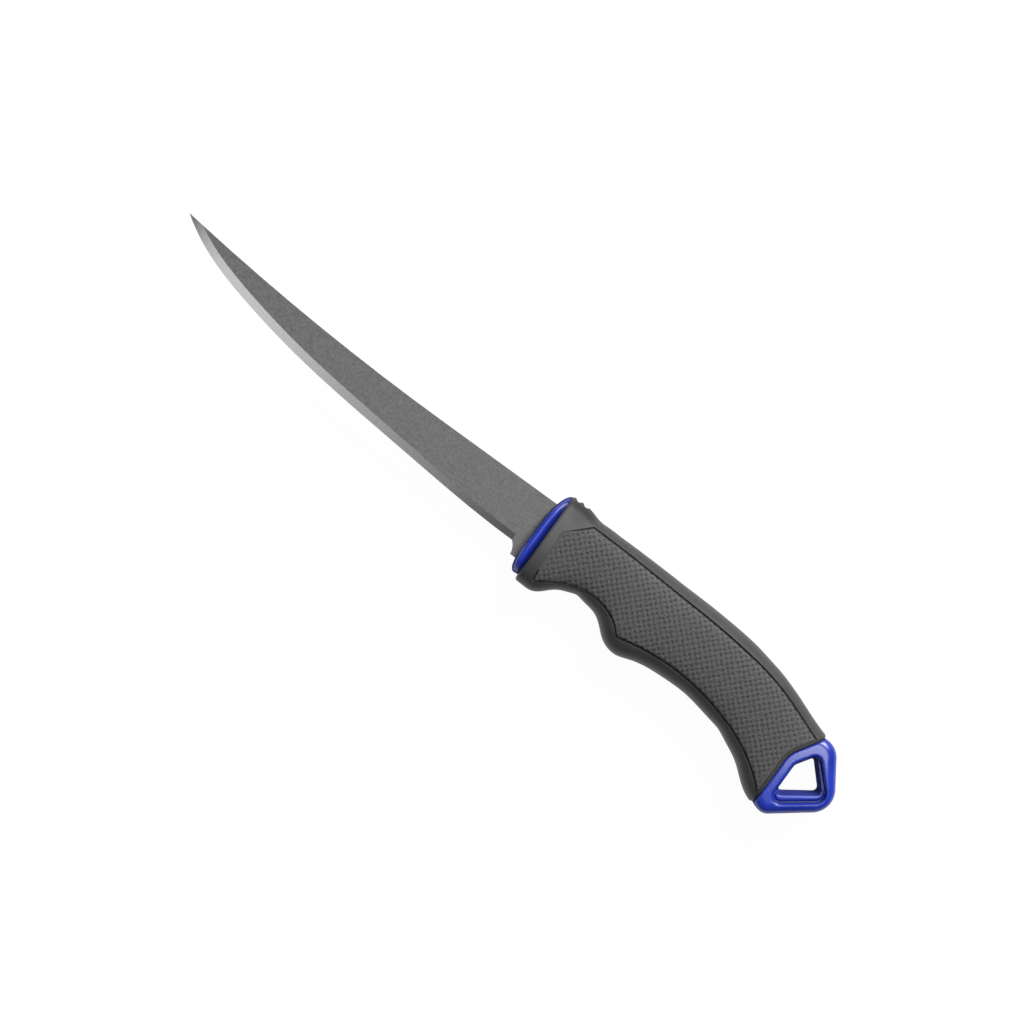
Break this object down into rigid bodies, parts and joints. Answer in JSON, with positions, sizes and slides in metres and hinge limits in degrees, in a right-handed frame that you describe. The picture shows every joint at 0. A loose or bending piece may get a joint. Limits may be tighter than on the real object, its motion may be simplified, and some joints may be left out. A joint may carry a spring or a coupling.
{
  "type": "fillet knife",
  "caption": "Slim upswept fillet knife with a coated blade, a curved two-colour moulded handle, textured grip panels and a lanyard loop.",
  "frame": {"origin": "middle of the underside of the knife as it lies on its right side", "axes": "+X from the tip to the butt, +Y from the cutting edge to the spine, +Z out of the left side"},
  "size_m": [0.2824, 0.0484, 0.022],
  "materials": {
    "coated_steel": "fine speckled grey non-stick coating, ground bare at the bevel",
    "blue_plastic": "semi-gloss moulded plastic, deep blue",
    "black_rubber": "satin moulded rubber, charcoal",
    "panel_rubber": "matt moulded rubber with a fine raised dot texture",
    "pin_steel": "plain turned pin, hidden"
  },
  "bodies": {
    "root": {"blade": "coated_steel", "handle_core": "blue_plastic", "grip_sleeve": "black_rubber", "grip_panel_left": "panel_rubber", "grip_panel_right": "panel_rubber", "tang_pin_front": "pin_steel", "tang_pin_middle": "pin_steel", "tang_pin_rear": "pin_steel"}
  },
  "joints": []
}
